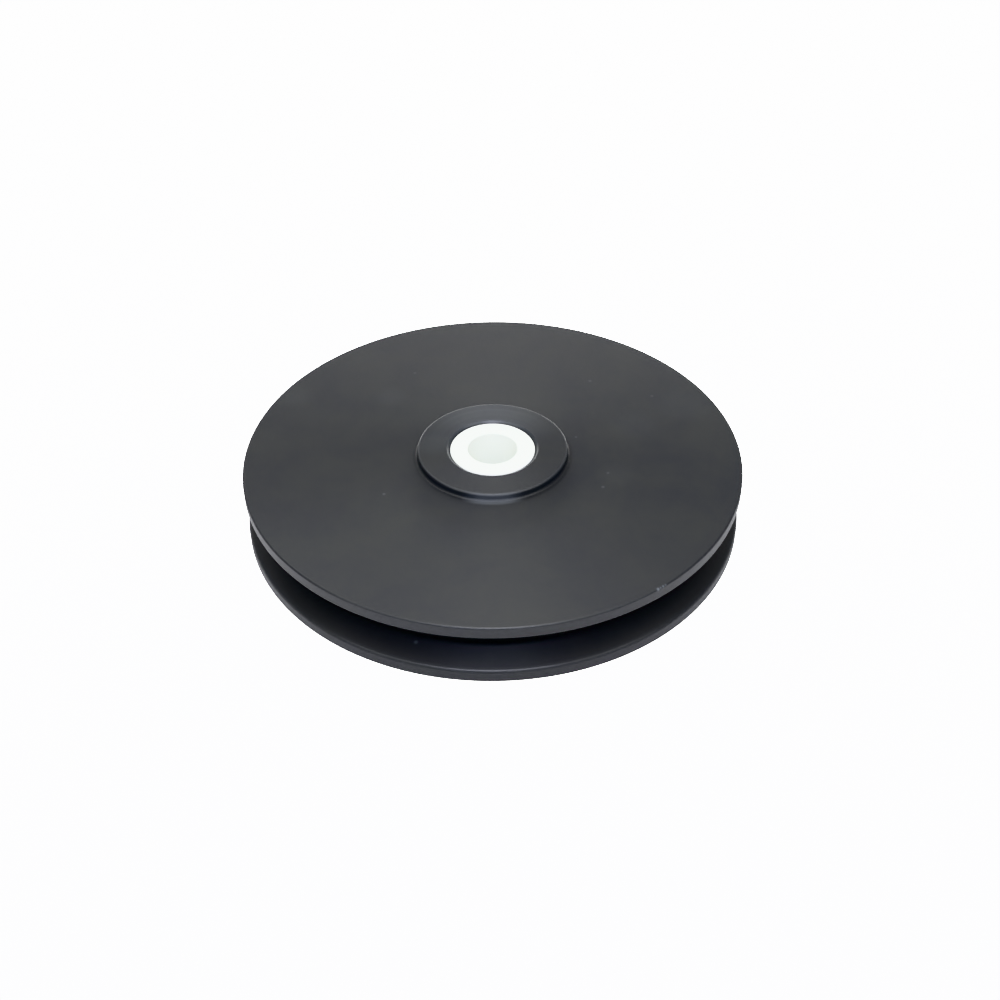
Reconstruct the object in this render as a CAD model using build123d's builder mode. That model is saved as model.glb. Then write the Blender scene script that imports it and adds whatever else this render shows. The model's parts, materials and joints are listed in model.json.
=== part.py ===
from build123d import *
from math import cos, radians, sin, tan
import os

os.makedirs("parts", exist_ok=True)

# Rim and hub, in millimetres
outer_diameter = 200.0
rim_width = 27.0
rim_edge_radius = 0.8
hub_diameter = 60.0
hub_height = 3.0  # each hub face stands this far proud of its flange face
hub_edge_radius = 0.6
hub_root_radius = 2.0  # fillet from the hub's wall into the flange face
least_hub_wall = 0.3  # straight wall kept between the edge and the fillet

# Rope groove
rope_diameter = 8.0
rope_clearance = 0.25  # the root's radius is the rope's radius plus this
groove_angle = 45.0  # between the two flanks
flange_edge_width = 5.2  # from each flange face to the mouth of the groove
groove_lip_radius = 1.5

# Bush and its seat
seat_diameter = 34.0
seat_chamfer = 1.4  # lead-in that guides the bush as it is pressed in
press_clearance = 0.0  # on diameter: bush and seat are modelled face to face
bush_recess = 0.5  # each end of the bush lies this far below its hub face
bush_edge_chamfer = 0.3
bore_diameter = 20.0
bore_edge_chamfer = 0.4

# The axis is Z, and the wheel lies on its lower hub face at Z = 0
outer_radius = outer_diameter / 2
overall_width = rim_width + 2 * hub_height
middle_height = overall_width / 2
root_fillet = min(hub_root_radius, hub_height - hub_edge_radius - least_hub_wall)

# The groove's root meets each flank as a tangent, and the flanks run out past the rim
rim_overcut = 2.0
flank_lean = radians(groove_angle / 2)
root_radius = rope_diameter / 2 + rope_clearance
mouth_half_width = rim_width / 2 - flange_edge_width
flank_depth = (mouth_half_width - root_radius * cos(flank_lean)) / tan(flank_lean)
flank_length = flank_depth / cos(flank_lean) + rim_overcut
root_centre = (outer_radius - flank_depth + root_radius * sin(flank_lean), middle_height)


# Wheel, turned from one round blank: half of its section, drawn across the width and spun round the axis
with BuildPart() as sheave_wheel:
    with BuildSketch(Plane.XZ) as half_section:
        with Locations((0, middle_height)):
            Rectangle(outer_radius, rim_width, align=(Align.MIN, Align.CENTER))
            Rectangle(hub_diameter / 2, overall_width, align=(Align.MIN, Align.CENTER))
        with BuildLine() as groove:
            root = CenterArc(root_centre, root_radius, 90 + groove_angle / 2, 180 - groove_angle)
            upper_flank = PolarLine(root @ 0, flank_length, groove_angle / 2)
            lower_flank = PolarLine(root @ 1, flank_length, -groove_angle / 2)
            Line(upper_flank @ 1, lower_flank @ 1)
        make_face(mode=Mode.SUBTRACT)
        with Locations((0, middle_height)):
            Rectangle(seat_diameter / 2, overall_width, align=(Align.MIN, Align.CENTER), mode=Mode.SUBTRACT)

        # Corners stand in columns, each sorted from the lower side to the upper one
        rim_edges = half_section.vertices().group_by(Axis.X)[-1].sort_by(Axis.Y)
        fillet([rim_edges[0], rim_edges[-1]], radius=rim_edge_radius)
        groove_lips = half_section.vertices().group_by(Axis.X)[-1].sort_by(Axis.Y)[1:3]
        fillet(groove_lips, radius=groove_lip_radius)
        hub_roots = half_section.vertices().group_by(Axis.X)[1].sort_by(Axis.Y)[1:3]
        fillet(hub_roots, radius=root_fillet)
        hub_edges = half_section.vertices().group_by(Axis.X)[1].sort_by(Axis.Y)
        fillet([hub_edges[0], hub_edges[-1]], radius=hub_edge_radius)
        seat_edges = half_section.vertices().group_by(Axis.X)[0]
        chamfer(seat_edges, length=seat_chamfer)
    revolve(axis=Axis.Z)
sheave_wheel.part.label = "sheave_wheel"
export_step(sheave_wheel.part, "parts/sheave_wheel.step")


# Plain bush, pressed into the hub until it lies below both hub faces
with BuildPart() as bore_bush:
    with BuildSketch(Plane.XY.offset(bush_recess)) as bush_section:
        Circle((seat_diameter - press_clearance) / 2)
        Circle(bore_diameter / 2, mode=Mode.SUBTRACT)
    extrude(amount=overall_width - 2 * bush_recess)
    bush_rings = bore_bush.edges().filter_by(GeomType.CIRCLE).group_by(SortBy.RADIUS)
    chamfer(bush_rings[0], length=bore_edge_chamfer)
    chamfer(bush_rings[-1], length=bush_edge_chamfer)
bore_bush.part.label = "bore_bush"
export_step(bore_bush.part, "parts/bore_bush.step")
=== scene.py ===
import json
import math

import bmesh
import bpy
from mathutils import Matrix, Vector


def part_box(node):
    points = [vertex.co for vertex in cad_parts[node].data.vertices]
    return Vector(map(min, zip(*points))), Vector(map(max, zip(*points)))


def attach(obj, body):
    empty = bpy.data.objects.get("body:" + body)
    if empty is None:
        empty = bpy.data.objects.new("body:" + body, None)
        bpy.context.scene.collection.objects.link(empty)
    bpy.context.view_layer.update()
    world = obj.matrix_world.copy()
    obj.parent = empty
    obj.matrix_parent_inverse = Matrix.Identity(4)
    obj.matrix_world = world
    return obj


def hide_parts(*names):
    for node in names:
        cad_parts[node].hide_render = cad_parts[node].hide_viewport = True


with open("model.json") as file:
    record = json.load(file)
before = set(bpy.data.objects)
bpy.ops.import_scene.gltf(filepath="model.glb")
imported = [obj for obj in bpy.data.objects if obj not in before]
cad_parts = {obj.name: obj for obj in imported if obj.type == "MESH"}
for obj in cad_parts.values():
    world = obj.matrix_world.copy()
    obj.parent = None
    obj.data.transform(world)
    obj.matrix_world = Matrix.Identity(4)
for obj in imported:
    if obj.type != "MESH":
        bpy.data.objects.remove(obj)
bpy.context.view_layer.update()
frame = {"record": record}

mm = 0.001


# The sheave stands on its lower hub face, with its axle's line along Z. Lengths below are millimetres.
def sizeOf(node):
    low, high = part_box(node)
    return {"radius": high.x / mm, "bottom": low.z / mm, "top": high.z / mm}


def boreRadius():
    mounts = frame["record"]["mounts"]
    axleBore = [mount for mount in mounts if mount["name"] == "axle_bore"][0]
    return axleBore["dims"]["r_mm"]


# sRGB hex to linear shares, by the sRGB curve
def linearColour(hexColour):
    shares = [int(hexColour[at:at + 2], 16) / 255 for at in (1, 3, 5)]
    return [s / 12.92 if s <= 0.04045 else ((s + 0.055) / 1.055) ** 2.4 for s in shares] + [1.0]


# A setting goes to the input of that name or number, and otherwise to the node's own property
def addNode(owner, kind, settings, links):
    node = owner.node_tree.nodes.new(kind)
    for name, value in settings.items():
        if isinstance(name, int) or name in node.inputs:
            node.inputs[name].default_value = value
        else:
            setattr(node, name, value)
    for name, output in links.items():
        owner.node_tree.links.new(output, node.inputs[name])
    return node


def newMaterial(name):
    material = bpy.data.materials.new(name)
    material.use_nodes = True
    material.node_tree.nodes.clear()
    return material


def deselectAll():
    bpy.ops.object.select_all(action="DESELECT")


# A turned piece starts as one point of its section, which is pulled out corner by corner
turningValues = {"cornerReach": 0.01, "weldReach": 0.001, "sharpAngle": 30.0}


def startSection(name, across, up):
    deselectAll()
    bpy.ops.mesh.primitive_plane_add(size=mm, location=(across * mm, 0, up * mm))
    piece = bpy.context.object
    piece.name = name
    piece.data.name = name
    bpy.ops.object.transform_apply(location=True, rotation=True, scale=True)
    bpy.ops.object.mode_set(mode="EDIT")
    bpy.ops.mesh.select_mode(type="VERT")
    bpy.ops.mesh.select_all(action="SELECT")
    bpy.ops.mesh.merge(type="CENTER")
    return piece


def pullLine(across, up):
    bpy.ops.mesh.extrude_region_move(TRANSFORM_OT_translate={"value": (across * mm, 0, up * mm)})


def selectCorners(piece, corners):
    section = bmesh.from_edit_mesh(piece.data)
    for vert in section.verts:
        place = (vert.co.x / mm, vert.co.z / mm)
        vert.select_set(any(math.dist(place, corner) < turningValues["cornerReach"] for corner in corners))
    section.select_flush_mode()
    bmesh.update_edit_mesh(piece.data)


def roundCorners(piece, corners, radius, turn, segments):
    # a fillet starts at its radius times the tangent of half the turn away from the corner
    selectCorners(piece, corners)
    offset = radius * mm * math.tan(math.radians(turn) / 2)
    bpy.ops.mesh.bevel(offset=offset, segments=segments, affect="VERTICES")


def turnSection(piece, steps):
    weldReach = turningValues["weldReach"] * mm
    bpy.ops.mesh.select_all(action="SELECT")
    bpy.ops.mesh.remove_doubles(threshold=weldReach)
    bpy.ops.mesh.select_all(action="SELECT")
    bpy.ops.mesh.spin(steps=steps, angle=math.tau, center=(0, 0, 0), axis=(0, 0, 1))
    bpy.ops.mesh.select_all(action="SELECT")
    bpy.ops.mesh.remove_doubles(threshold=weldReach)
    bpy.ops.mesh.normals_make_consistent(inside=False)
    bpy.ops.object.mode_set(mode="OBJECT")
    bpy.ops.object.shade_smooth_by_angle(angle=math.radians(turningValues["sharpAngle"]))
    bpy.ops.object.modifier_add(type="WEIGHTED_NORMAL")
    piece.modifiers[-1].keep_sharp = True
    bpy.ops.object.modifier_apply(modifier=piece.modifiers[-1].name)


# Wheel: turned from cast nylon rod, with a rope groove in its rim and a hub that stands proud of each face
wheelSize = sizeOf("sheave_wheel")
wheelValues = {
    "rimWidth": 27.0,
    "rimRadius": 0.8,
    "rimSteps": 12,
    "hubRadius": 30.3,
    "hubEdge": 0.8,
    "hubEdgeSteps": 8,
    "hubRoot": 1.0,
    "hubRootSteps": 10,
    "seatRadius": sizeOf("bore_bush")["radius"],
    "seatChamfer": 1.4,
    "landWidth": 5.2,
    "lipRadius": 1.5,
    "lipSteps": 8,
    "rootRadius": 4.25,
    "rootSteps": 24,
    "flankLean": 22.5,
    "turnSteps": 384,
}


def makeWheel(size, values):
    middle = (size["bottom"] + size["top"]) / 2
    outer = size["radius"]
    hub = values["hubRadius"]
    seat = values["seatRadius"]
    chamfer = values["seatChamfer"]
    lowFace = middle - values["rimWidth"] / 2
    highFace = middle + values["rimWidth"] / 2
    hubHeight = lowFace - size["bottom"]
    lean = math.radians(values["flankLean"])
    root = values["rootRadius"]
    mouth = values["rimWidth"] / 2 - values["landWidth"]
    rootRise = root * math.cos(lean)
    flankDepth = (mouth - rootRise) / math.tan(lean)
    rootCentre = outer - flankDepth + root * math.sin(lean)

    wheel = startSection("sheaveWheel", seat, size["bottom"] + chamfer)
    pullLine(chamfer, -chamfer)  # seat chamfer and lower hub face
    pullLine(hub - seat - chamfer, 0)
    pullLine(0, hubHeight)
    pullLine(outer - hub, 0)  # lower flange face
    pullLine(0, values["landWidth"])
    pullLine(-flankDepth, mouth - rootRise)  # lower flank, down to the groove's root
    bpy.ops.mesh.spin(
        steps=values["rootSteps"],
        angle=math.pi - 2 * lean,
        center=(rootCentre * mm, 0, middle * mm),
        axis=(0, -1, 0),
    )
    pullLine(flankDepth, mouth - rootRise)
    pullLine(0, values["landWidth"])
    pullLine(hub - outer, 0)  # upper flange face
    pullLine(0, hubHeight)
    pullLine(seat + chamfer - hub, 0)
    pullLine(-chamfer, -chamfer)
    pullLine(0, 2 * chamfer - size["top"] + size["bottom"])  # the seat closes the section

    rimEdges = [(outer, lowFace), (outer, highFace)]
    roundCorners(wheel, rimEdges, values["rimRadius"], 90, values["rimSteps"])
    lips = [(outer, middle - mouth), (outer, middle + mouth)]
    roundCorners(wheel, lips, values["lipRadius"], 90 - values["flankLean"], values["lipSteps"])
    hubRoots = [(hub, lowFace), (hub, highFace)]
    roundCorners(wheel, hubRoots, values["hubRoot"], 90, values["hubRootSteps"])
    hubEdges = [(hub, size["bottom"]), (hub, size["top"])]
    roundCorners(wheel, hubEdges, values["hubEdge"], 90, values["hubEdgeSteps"])
    turnSection(wheel, values["turnSteps"])
    return wheel


wheel = makeWheel(wheelSize, wheelValues)
print("wheel turned:", len(wheel.data.polygons), "faces")

# Bush: a plain white tube, pressed in until each end lies just below its hub face
bushSize = sizeOf("bore_bush")
bushValues = {
    "edgeChamfer": 0.3,
    "boreChamfer": 0.2,
    "turnSteps": 192,
}


def makeBush(size, values):
    outer = size["radius"]
    bore = boreRadius()
    edge = values["edgeChamfer"]
    lead = values["boreChamfer"]
    bush = startSection("boreBush", bore, size["bottom"] + lead)
    pullLine(lead, -lead)
    pullLine(outer - bore - lead - edge, 0)
    pullLine(edge, edge)
    pullLine(0, size["top"] - size["bottom"] - 2 * edge)
    pullLine(-edge, edge)
    pullLine(bore + lead + edge - outer, 0)
    pullLine(-lead, -lead)
    pullLine(0, size["bottom"] - size["top"] + 2 * lead)
    turnSection(bush, values["turnSteps"])
    return bush


bush = makeBush(bushSize, bushValues)
print("bush turned:", len(bush.data.polygons), "faces")

# Black cast nylon, machined: near-black with a cold cast, a satin sheen and fine rings left by the tool,
# which draw the gloss out into a faint fan across the flange. Handling leaves faint smudges and a few specks
# of dust. A pale bloom on the raised hub face is partly a scuff and partly painted sheen, a painted
# highlight lies at the front of the hub's root, and painted shade darkens the groove and the hub's root
nylonValues = {
    "colour": "#1b1d21",
    "smudgeColour": "#202221",
    # painted shade colour, darkening the groove and the hub's root
    "paintedShadeColour": "#0b0c0e",
    # the pale colour of dust specks, also used for the painted highlight and painted sheen
    "dustAndHighlightColour": "#838a91",
    "roughness": 0.37,
    "smudgeRoughness": 0.42,
    "ior": 1.53,
    "ringDrag": 0.5,  # anisotropy
    "ringTurn": 0.25,  # a quarter turn, which draws the gloss out across the rings
    "ringPitch": 0.7,  # the real feed is about 0.15 mm, drawn coarser so that it shows
    "ringDetail": 1.0,
    "ringDepth": 0.004,
    "smudgeSize": 26.0,
    "smudgeDetail": 6.0,
    "smudgeBreakup": 0.72,
    "smudgeWarp": 0.4,
    "smudgeStart": 0.35,
    "smudgeFull": 0.75,
    # the hub's bloom is partly a scuff and partly painted sheen on the hub face's far side
    "hubBloomAndSheen": {"turn": 95.0, "reach": 21.0, "height": 33.0, "core": 4.0, "edge": 32.0, "share": 0.095},
    "bloomHeight": 32.5,
    "arcPitch": 2.4,
    "arcDetail": 2.0,
    "arcLow": 0.6,
    "arcHigh": 1.4,
    # paler rings on the seat's chamfer and along the hub's edge
    "seatPaleRing": {"at": 17.6, "core": 0.6, "edge": 1.2, "share": 0.06},
    "hubEdgePaleRing": {"at": 29.9, "core": 0.4, "edge": 0.7, "share": 0.03},
    # painted highlight at the front of the hub's root, kept to a band round the root
    "hubRootPaintedHighlight": {"turn": -90.0, "reach": 31.0, "height": 30.0, "core": 4.0, "edge": 14.0, "share": 0.165},
    "hubRootHighlightBand": {"at": 31.0, "core": 0.6, "edge": 2.1, "share": 1.0},
    "cornerDulling": 1.5,
    # painted shade: darkens the fillet at the hub's root and the whole groove
    "hubRootPaintedShade": {"at": 31.2, "core": 0.6, "edge": 1.4, "share": 0.3},
    "groovePaintedShade": {"at": 16.5, "core": 7.4, "edge": 8.2, "share": 0.68},
}
# Specks, the nick in the rim and faint patches. Each lies at a turn in degrees from +X, a reach from the
# axle's line and a height, and its share is of dust
markValues = [
    {"turn": -149.1, "reach": 49.4, "height": 30.0, "core": 0.2, "edge": 0.9, "share": 0.11},
    {"turn": -27.4, "reach": 48.4, "height": 30.0, "core": 0.2, "edge": 1.0, "share": 0.1},
    {"turn": -16.5, "reach": 47.5, "height": 30.0, "core": 0.2, "edge": 0.9, "share": 0.08},
    {"turn": 50.2, "reach": 66.1, "height": 30.0, "core": 0.2, "edge": 1.1, "share": 0.08},
    {"turn": 29.9, "reach": 78.4, "height": 30.0, "core": 0.2, "edge": 1.0, "share": 0.07},
    {"turn": 17.0, "reach": 35.7, "height": 30.0, "core": 0.2, "edge": 0.8, "share": 0.08},
    {"turn": 120.0, "reach": 67.1, "height": 30.0, "core": 0.2, "edge": 1.0, "share": 0.07},
    {"turn": -107.95, "reach": 92.2, "height": 11.4, "core": 0.3, "edge": 1.1, "share": 0.13},
    {"turn": -53.9, "reach": 99.7, "height": 29.7, "core": 0.1, "edge": 0.9, "share": 0.4},
    {"turn": -53.2, "reach": 99.7, "height": 29.7, "core": 0.1, "edge": 0.6, "share": 0.25},
    {"turn": -52.5, "reach": 99.7, "height": 29.7, "core": 0.1, "edge": 0.7, "share": 0.3},
    {"turn": -51.8, "reach": 99.7, "height": 29.7, "core": 0.1, "edge": 0.6, "share": 0.2},
    {"turn": 172.0, "reach": 24.0, "height": 33.0, "core": 2.0, "edge": 11.0, "share": 0.03},
    {"turn": 137.0, "reach": 59.0, "height": 30.0, "core": 2.0, "edge": 9.0, "share": 0.015},
    {"turn": 154.0, "reach": 94.0, "height": 30.0, "core": 2.0, "edge": 10.0, "share": 0.015},
    {"turn": 22.0, "reach": 86.0, "height": 30.0, "core": 4.0, "edge": 16.0, "share": 0.01},
    {"turn": 17.0, "reach": 62.0, "height": 30.0, "core": 3.0, "edge": 14.0, "share": 0.01},
    {"turn": -17.0, "reach": 51.0, "height": 30.0, "core": 2.0, "edge": 10.0, "share": 0.01},
]


# A mark with a turn is a spot, measured from a place. Any other is a band, measured by reach or by height
def addMark(material, mark, measure):
    if "turn" in mark:
        turn = math.radians(mark["turn"])
        reach = mark["reach"] * mm
        centre = (reach * math.cos(turn), reach * math.sin(turn), mark["height"] * mm)
        away = addNode(material, "ShaderNodeVectorMath", {"operation": "DISTANCE", 1: centre}, {0: measure})
    else:
        middle = mark["at"] * mm
        past = addNode(material, "ShaderNodeMath", {"operation": "SUBTRACT", 1: middle}, {0: measure})
        away = addNode(material, "ShaderNodeMath", {"operation": "ABSOLUTE"}, {0: past.outputs["Value"]})
    fade = addNode(
        material,
        "ShaderNodeMapRange",
        {
            "interpolation_type": "SMOOTHSTEP",
            "From Min": mark["edge"] * mm,
            "From Max": mark["core"] * mm,
            "To Max": mark["share"],
        },
        {"Value": away.outputs["Value"]},
    )
    return fade.outputs["Result"]


# A colour mix takes its share at input 0 and its colours at 6 and 7, and gives the mixed colour at output 2
def makeTurnedNylon(values, marks):
    nylon = newMaterial("blackCastNylonTurned")
    place = addNode(nylon, "ShaderNodeTexCoord", {}, {}).outputs["Object"]
    axes = addNode(nylon, "ShaderNodeSeparateXYZ", {}, {"Vector": place})
    flat = addNode(nylon, "ShaderNodeCombineXYZ", {}, {"X": axes.outputs["X"], "Y": axes.outputs["Y"]})
    reach = addNode(nylon, "ShaderNodeVectorMath", {"operation": "LENGTH"}, {0: flat.outputs["Vector"]})
    reach = reach.outputs["Value"]
    along = addNode(nylon, "ShaderNodeMath", {"operation": "ADD"}, {0: reach, 1: axes.outputs["Z"]})
    rings = addNode(
        nylon,
        "ShaderNodeTexNoise",
        {
            "noise_dimensions": "1D",
            "Scale": 1 / (values["ringPitch"] * mm),
            "Detail": values["ringDetail"],
        },
        {"W": along.outputs["Value"]},
    )
    smudges = addNode(
        nylon,
        "ShaderNodeTexNoise",
        {
            "Scale": 1 / (values["smudgeSize"] * mm),
            "Detail": values["smudgeDetail"],
            "Roughness": values["smudgeBreakup"],
            "Distortion": values["smudgeWarp"],
        },
        {"Vector": place},
    )
    smudgeAmount = addNode(
        nylon,
        "ShaderNodeMapRange",
        {"From Min": values["smudgeStart"], "From Max": values["smudgeFull"]},
        {"Value": smudges.outputs["Fac"]},
    )
    clean = addNode(
        nylon,
        "ShaderNodeMix",
        {
            "data_type": "RGBA",
            6: linearColour(values["colour"]),
            7: linearColour(values["smudgeColour"]),
        },
        {0: smudgeAmount.outputs["Result"]},
    )
    # painted shade lies round the hub's root and all over the groove, darkening them where little light
    # reaches
    paintedShade = addNode(
        nylon,
        "ShaderNodeMath",
        {"operation": "ADD"},
        {
            0: addMark(nylon, values["hubRootPaintedShade"], reach),
            1: addMark(nylon, values["groovePaintedShade"], axes.outputs["Z"]),
        },
    )
    paintedShadeMixed = addNode(
        nylon,
        "ShaderNodeMix",
        {"data_type": "RGBA", 7: linearColour(values["paintedShadeColour"])},
        {0: paintedShade.outputs["Value"], 6: clean.outputs[2]},
    )

    # the bloom lies on the hub face alone, partly a scuff and partly painted sheen that lightens its far
    # side, broken into arcs that follow the tool's rings
    arcs = addNode(
        nylon,
        "ShaderNodeTexNoise",
        {
            "noise_dimensions": "1D",
            "Scale": 1 / (values["arcPitch"] * mm),
            "Detail": values["arcDetail"],
        },
        {"W": along.outputs["Value"]},
    )
    arcShare = addNode(
        nylon,
        "ShaderNodeMapRange",
        {"To Min": values["arcLow"], "To Max": values["arcHigh"]},
        {"Value": arcs.outputs["Fac"]},
    )
    onHub = addNode(
        nylon,
        "ShaderNodeMath",
        {"operation": "GREATER_THAN", 1: values["bloomHeight"] * mm},
        {0: axes.outputs["Z"]},
    )
    bloomAndSheen = addNode(
        nylon,
        "ShaderNodeMath",
        {"operation": "MULTIPLY"},
        {0: addMark(nylon, values["hubBloomAndSheen"], place), 1: arcShare.outputs["Result"]},
    )
    # pale marks add up here: dust specks, the nick and patches, pale rings, and the painted highlight and
    # sheen
    dustAndPaintedLight = addNode(
        nylon,
        "ShaderNodeMath",
        {"operation": "MULTIPLY"},
        {0: bloomAndSheen.outputs["Value"], 1: onHub.outputs["Value"]},
    )
    # a painted highlight at the front of the hub's root, in the pale dust colour, where the strip lamp's
    # reflection lies; it dulls the gloss there too
    corner = addNode(
        nylon,
        "ShaderNodeMath",
        {"operation": "MULTIPLY"},
        {0: addMark(nylon, values["hubRootPaintedHighlight"], place), 1: addMark(nylon, values["hubRootHighlightBand"], reach)},
    )
    # paler rings on the seat's chamfer and along the hub's edge
    paleRings = [addMark(nylon, values[name], reach) for name in ("seatPaleRing", "hubEdgePaleRing")]
    for share in [corner.outputs["Value"]] + paleRings + [addMark(nylon, mark, place) for mark in marks]:
        dustAndPaintedLight = addNode(nylon, "ShaderNodeMath", {"operation": "ADD"}, {0: dustAndPaintedLight.outputs["Value"], 1: share})
    dustedAndHighlit = addNode(
        nylon,
        "ShaderNodeMix",
        {"data_type": "RGBA", 7: linearColour(values["dustAndHighlightColour"])},
        {0: dustAndPaintedLight.outputs["Value"], 6: paintedShadeMixed.outputs[2]},
    )
    gloss = addNode(
        nylon,
        "ShaderNodeMapRange",
        {"To Min": values["roughness"], "To Max": values["smudgeRoughness"]},
        {"Value": smudgeAmount.outputs["Result"]},
    )
    dulled = addNode(
        nylon,
        "ShaderNodeMath",
        {"operation": "MULTIPLY_ADD", 1: values["cornerDulling"]},
        {0: corner.outputs["Value"], 2: gloss.outputs["Result"]},
    )
    grooved = addNode(
        nylon,
        "ShaderNodeBump",
        {"Strength": 1.0, "Distance": values["ringDepth"] * mm},
        {"Height": rings.outputs["Fac"]},
    )
    drag = addNode(nylon, "ShaderNodeTangent", {"direction_type": "RADIAL", "axis": "Z"}, {})
    surface = addNode(
        nylon,
        "ShaderNodeBsdfPrincipled",
        {
            "IOR": values["ior"],
            "Anisotropic": values["ringDrag"],
            "Anisotropic Rotation": values["ringTurn"],
        },
        {
            "Base Color": dustedAndHighlit.outputs[2],
            "Roughness": dulled.outputs["Value"],
            "Normal": grooved.outputs["Normal"],
            "Tangent": drag.outputs["Tangent"],
        },
    )
    addNode(nylon, "ShaderNodeOutputMaterial", {}, {"Surface": surface.outputs["BSDF"]})
    return nylon


# White acetal, machined: clean, dense and slightly waxy, which gives it a soft broad sheen
acetalValues = {
    "colour": "#eff2eb",
    "roughness": 0.38,
    "ior": 1.48,
}


def makeTurnedAcetal(values):
    acetal = newMaterial("whiteAcetalTurned")
    surface = addNode(
        acetal,
        "ShaderNodeBsdfPrincipled",
        {
            "Base Color": linearColour(values["colour"]),
            "Roughness": values["roughness"],
            "IOR": values["ior"],
        },
        {},
    )
    addNode(acetal, "ShaderNodeOutputMaterial", {}, {"Surface": surface.outputs["BSDF"]})
    return acetal


wheel.data.materials.append(makeTurnedNylon(nylonValues, markValues))
bush.data.materials.append(makeTurnedAcetal(acetalValues))
print("materials made")

for piece, node, slotName in ((wheel, "sheave_wheel", "black_nylon"), (bush, "bore_bush", "white_bush")):
    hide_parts(node)
    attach(piece, "root")

# Floor: a plain white table. To the eye it is lifted to a clean white, which sheds no light on the wheel
floorValues = {
    "halfWidth": 3000.0,
    "colour": "#e6e6e6",
    "liftColour": "#ffffff",
    "roughness": 0.6,
    "lift": 5.0,
}


def makeFloor(values):
    deselectAll()
    bpy.ops.mesh.primitive_plane_add(size=2 * values["halfWidth"] * mm, location=(0, 0, 0))
    floor = bpy.context.object
    floor.name = "floor"
    tableTop = newMaterial("whiteTablePaint")
    tableTop.cycles.emission_sampling = "NONE"
    rays = addNode(tableTop, "ShaderNodeLightPath", {}, {})
    lift = addNode(
        tableTop,
        "ShaderNodeMapRange",
        {"To Max": values["lift"]},
        {"Value": rays.outputs["Is Camera Ray"]},
    )
    surface = addNode(
        tableTop,
        "ShaderNodeBsdfPrincipled",
        {
            "Base Color": linearColour(values["colour"]),
            "Roughness": values["roughness"],
            "Emission Color": linearColour(values["liftColour"]),
        },
        {"Emission Strength": lift.outputs["Result"]},
    )
    addNode(tableTop, "ShaderNodeOutputMaterial", {}, {"Surface": surface.outputs["BSDF"]})
    floor.data.materials.append(tableTop)


makeFloor(floorValues)

# Camera: a little over half a metre from the hub, looking down on the flange
cameraValues = {
    "place": (0.0, -437.93, 364.94),
    "aim": (2.66, -29.69, 30.0),
    "roll": -0.313,
    "lens": 49.21,
    "sensor": 36.0,
    "near": 10.0,
    "far": 20000.0,
}


def makeCamera(values):
    place = Vector(values["place"]) * mm
    look = (Vector(values["aim"]) * mm - place).normalized()
    level = look.to_track_quat("-Z", "Y").to_matrix().to_4x4()
    turned = level @ Matrix.Rotation(math.radians(values["roll"]), 4, "Z")
    deselectAll()
    bpy.ops.object.camera_add(location=place, rotation=turned.to_euler())
    camera = bpy.context.object
    camera.data.lens = values["lens"]
    camera.data.sensor_width = values["sensor"]
    camera.data.clip_start = values["near"] * mm
    camera.data.clip_end = values["far"] * mm
    bpy.context.scene.camera = camera


makeCamera(cameraValues)

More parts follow.
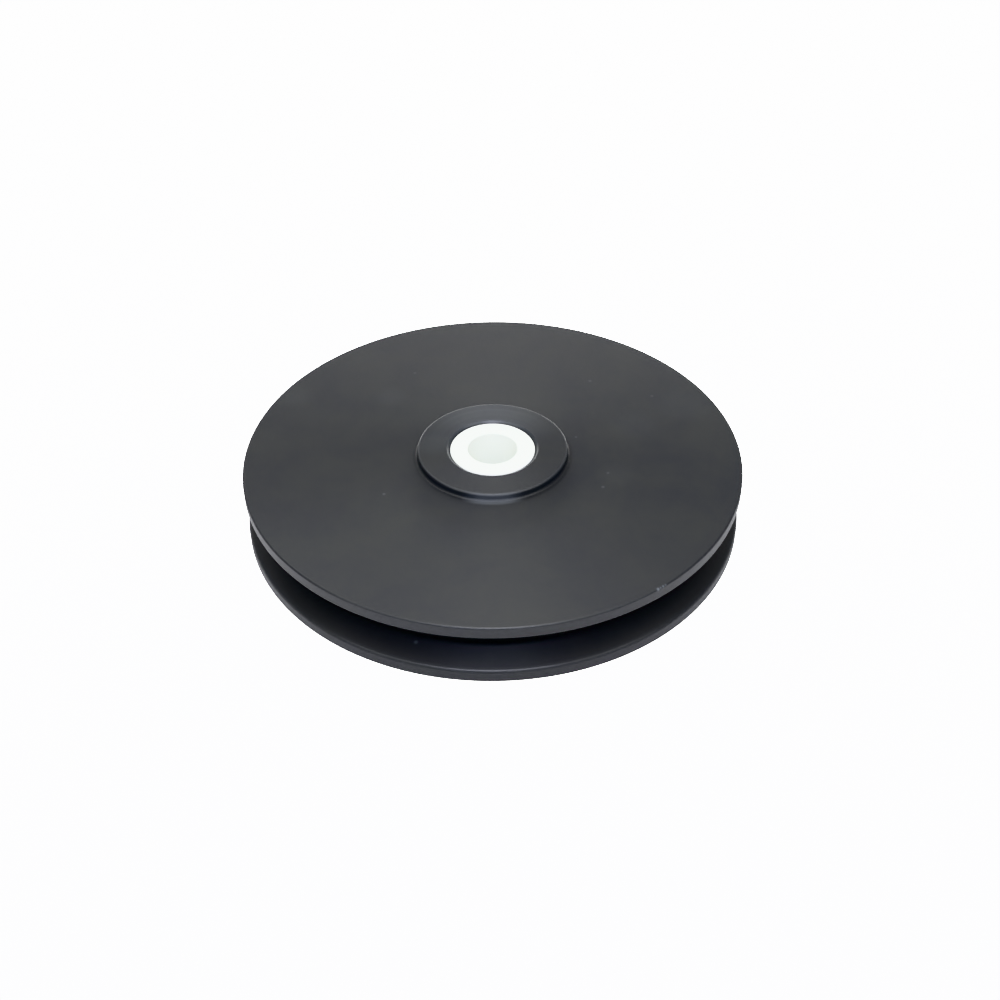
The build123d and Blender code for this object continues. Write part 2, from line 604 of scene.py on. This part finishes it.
# Light: a white room with a round lamp and softboxes overhead, one more at each side of the front, a bright
# wall behind, and a cold strip lamp just above the camera. Brightness is radiance
lightValues = {
    "room": 0.59,
    "backdrop": 6.0,
    "colour": "#ffffff",
    "target": (0.0, 0.0, 17.0),
}
lampValues = {
    "ceiling": {
        "shape": "ELLIPSE",
        "place": (0.0, 0.0, 1550.0),
        "size": (2550.0, 2550.0),
        "brightness": 1.2,
        "colour": "#ffffff",
    },
    "roundLamp": {
        "shape": "ELLIPSE",
        "place": (0.0, 0.0, 1500.0),
        "size": (370.0, 370.0),
        "brightness": 16.3,
        "colour": "#ffffff",
    },
    "backSoftbox": {
        "shape": "RECTANGLE",
        "place": (0.0, 610.0, 1370.0),
        "size": (464.0, 448.0),
        "brightness": 2.1,
        "colour": "#ffffff",
    },
    "leftSoftbox": {
        "shape": "RECTANGLE",
        "place": (-567.0, 780.0, 1149.0),
        "size": (475.0, 420.0),
        "brightness": 2.8,
        "colour": "#ffffff",
    },
    "rightSoftbox": {
        "shape": "RECTANGLE",
        "place": (567.0, 780.0, 1149.0),
        "size": (475.0, 420.0),
        "brightness": 0.5,
        "colour": "#ffffff",
    },
    "backWall": {
        "shape": "RECTANGLE",
        "place": (0.0, 1500.0, 160.0),
        "size": (2000.0, 320.0),
        "brightness": 7.6,
        "colour": "#ffffff",
    },
    "frontLeft": {
        "shape": "RECTANGLE",
        "place": (-956.0, -695.0, 923.0),
        "size": (800.0, 600.0),
        "brightness": 2.2,
        "colour": "#ffffff",
    },
    "frontRight": {
        "shape": "RECTANGLE",
        "place": (956.0, -695.0, 923.0),
        "size": (800.0, 600.0),
        "brightness": 2.2,
        "colour": "#ffffff",
    },
    "stripLamp": {
        "shape": "RECTANGLE",
        "place": (0.0, -430.0, 478.0),
        "size": (350.0, 45.0),
        "brightness": 53.0,
        "colour": "#e7eaff",
    },
}


def addLamp(name, values, target):
    place = Vector(values["place"]) * mm
    look = (Vector(target) * mm - place).normalized()
    turned = look.to_track_quat("-Z", "Y").to_euler()
    deselectAll()
    bpy.ops.object.light_add(type="AREA", location=place, rotation=turned)
    lamp = bpy.context.object
    lamp.name = name
    lamp.visible_camera = False
    lamp.data.shape = values["shape"]
    lamp.data.color = linearColour(values["colour"])[:3]
    lamp.data.size, lamp.data.size_y = [length * mm for length in values["size"]]
    area = lamp.data.size * lamp.data.size_y
    if values["shape"] == "ELLIPSE":
        area = area * math.pi / 4
    lamp.data.energy = values["brightness"] * math.pi * area


def makeLights(values, lamps):
    for name, lamp in lamps.items():
        addLamp(name, lamp, values["target"])
    room = bpy.data.worlds.new("whiteRoom")
    room.use_nodes = True
    room.node_tree.nodes.clear()
    # the room is brighter to look at than the light it gives, so that it stays white behind the table
    rays = addNode(room, "ShaderNodeLightPath", {}, {})
    strength = addNode(
        room,
        "ShaderNodeMapRange",
        {"To Min": values["room"], "To Max": values["backdrop"]},
        {"Value": rays.outputs["Is Camera Ray"]},
    )
    background = addNode(
        room,
        "ShaderNodeBackground",
        {"Color": linearColour(values["colour"])},
        {"Strength": strength.outputs["Result"]},
    )
    addNode(room, "ShaderNodeOutputWorld", {}, {"Surface": background.outputs["Background"]})
    bpy.context.scene.world = room


makeLights(lightValues, lampValues)
# a neutral picture whose blacks and whites roll off as a camera's do
bpy.context.scene.view_settings.view_transform = "Khronos PBR Neutral"
print("stage, camera and lights set")
